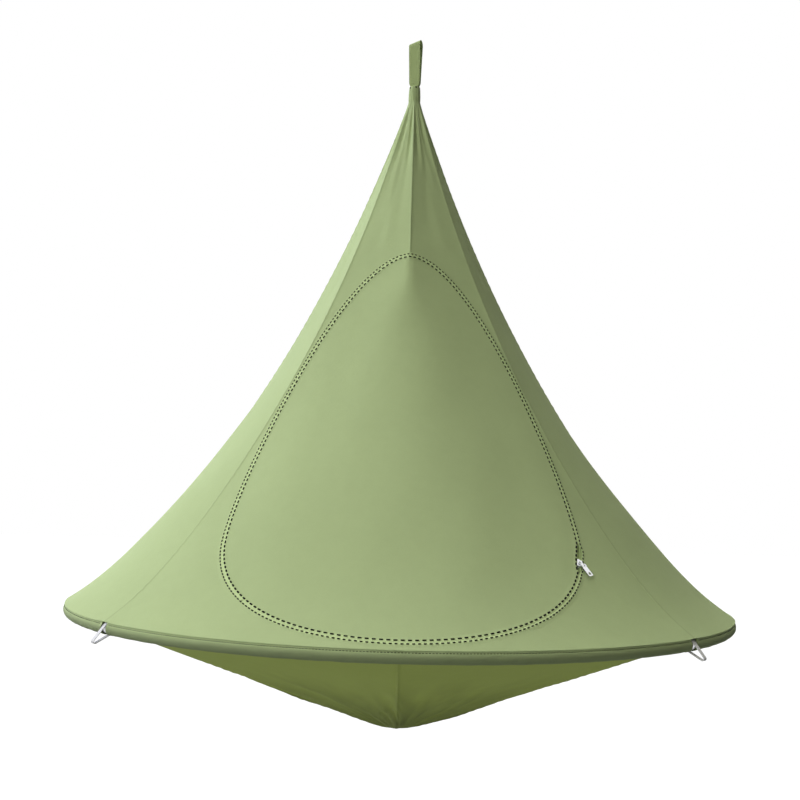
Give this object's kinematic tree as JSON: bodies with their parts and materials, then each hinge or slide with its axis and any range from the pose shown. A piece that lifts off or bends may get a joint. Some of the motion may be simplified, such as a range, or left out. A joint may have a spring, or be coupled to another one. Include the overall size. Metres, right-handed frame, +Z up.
{
  "type": "hanging tent",
  "caption": "Round hanging tent of green canvas: cone canopy over a hoop, shallow bowl under it, zipped rounded door, hung by one webbing loop.",
  "frame": {"origin": "the hanging eye, under the crest of the webbing loop that carries the tent", "axes": "+Z up along the hanging line, the door faces -Y, +X to the right of someone who looks at the door"},
  "size_m": [1.5, 1.5, 1.6959],
  "materials": {
    "canopy_cloth": "woven cotton and polyester canvas, sage green, matt",
    "bowl_cloth": "woven canvas, olive green, matt",
    "door_cloth": "woven canvas, sage green, matt",
    "load_webbing": "woven webbing, green, matt",
    "zip_tape_weave": "woven zip tape, light green",
    "zip_coil_nylon": "coiled monofilament, green, satin",
    "bright_zinc": "die-cast zinc, bright plated",
    "aluminium_tube": "drawn tube, bright",
    "white_tape": "woven tape, white, matt"
  },
  "bodies": {
    "tent": {"canopy_gore_front_right": "canopy_cloth", "canopy_gore_right_front": "canopy_cloth", "canopy_gore_right_rear": "canopy_cloth", "canopy_gore_rear_right": "canopy_cloth", "canopy_gore_rear_left": "canopy_cloth", "canopy_gore_left_rear": "canopy_cloth", "canopy_gore_left_front": "canopy_cloth", "canopy_gore_front_left": "canopy_cloth", "bowl_gore_front_right": "bowl_cloth", "bowl_gore_right_front": "bowl_cloth", "bowl_gore_right_rear": "bowl_cloth", "bowl_gore_rear_right": "bowl_cloth", "bowl_gore_rear_left": "bowl_cloth", "bowl_gore_left_rear": "bowl_cloth", "bowl_gore_left_front": "bowl_cloth", "bowl_gore_front_left": "bowl_cloth", "canopy_strap_1": "load_webbing", "canopy_strap_2": "load_webbing", "canopy_strap_3": "load_webbing", "canopy_strap_4": "load_webbing", "canopy_strap_5": "load_webbing", "canopy_strap_6": "load_webbing", "canopy_strap_7": "load_webbing", "canopy_strap_8": "load_webbing", "hoop_tube_1": "aluminium_tube", "hoop_tube_2": "aluminium_tube", "hoop_tube_3": "aluminium_tube", "hoop_tube_4": "aluminium_tube", "hoop_tube_5": "aluminium_tube", "hoop_tube_6": "aluminium_tube", "hoop_tube_7": "aluminium_tube", "hoop_tube_8": "aluminium_tube", "bowl_webbing": "load_webbing", "sleeve_front": "canopy_cloth", "sleeve_right": "canopy_cloth", "sleeve_rear": "canopy_cloth", "sleeve_left": "canopy_cloth", "neck_collar": "load_webbing", "hanging_loop": "load_webbing", "door_sill_band": "zip_tape_weave", "zip_tape_frame": "zip_tape_weave", "zip_coil_frame": "zip_coil_nylon", "zip_start_stop": "bright_zinc", "zip_end_stop": "bright_zinc"},
    "door": {"door_flap": "door_cloth", "zip_tape_door": "zip_tape_weave", "zip_coil_door": "zip_coil_nylon"},
    "slider": {"zip_slider": "bright_zinc"},
    "link": {"pull_link": "bright_zinc"},
    "pull": {"zip_pull": "bright_zinc"},
    "tie_1": {"tie_loop_1": "white_tape"},
    "tie_2": {"tie_loop_2": "white_tape"},
    "tie_3": {"tie_loop_3": "white_tape"},
    "tie_4": {"tie_loop_4": "white_tape"}
  },
  "joints": [
    {"name": "door_swing", "type": "hinge", "parent": "tent", "child": "door", "pos_m": [0, -0.72827, -1.38333], "axis": [1, 0, 0], "range_deg": [0, 150]},
    {"name": "zip_slide", "type": "slide", "parent": "tent", "child": "slider", "axis": [0.1508, 0.7633, 0.6282], "range_m": [0, 0.025]},
    {"name": "pull_swivel", "type": "hinge", "parent": "slider", "child": "link", "pos_m": [0.32561, -0.51116, -1.2709], "axis": [0.4005, -0.6288, 0.6665], "range_deg": [-60, 60]},
    {"name": "pull_flip", "type": "hinge", "parent": "link", "child": "pull", "pos_m": [0.33117, -0.51719, -1.27287], "axis": [-0.751, -0.6422, -0.1537], "range_deg": [0, 135]},
    {"name": "tie_swing_1", "type": "hinge", "parent": "tent", "child": "tie_1", "pos_m": [0.52198, -0.52198, -1.408], "axis": [0.7071, 0.7071, 0], "range_deg": [-50, 75]},
    {"name": "tie_swing_2", "type": "hinge", "parent": "tent", "child": "tie_2", "pos_m": [0.52198, 0.52198, -1.408], "axis": [-0.7071, 0.7071, 0], "range_deg": [-50, 75]},
    {"name": "tie_swing_3", "type": "hinge", "parent": "tent", "child": "tie_3", "pos_m": [-0.52198, 0.52198, -1.408], "axis": [-0.7071, -0.7071, 0], "range_deg": [-50, 75]},
    {"name": "tie_swing_4", "type": "hinge", "parent": "tent", "child": "tie_4", "pos_m": [-0.52198, -0.52198, -1.408], "axis": [0.7071, -0.7071, 0], "range_deg": [-50, 75]}
  ]
}
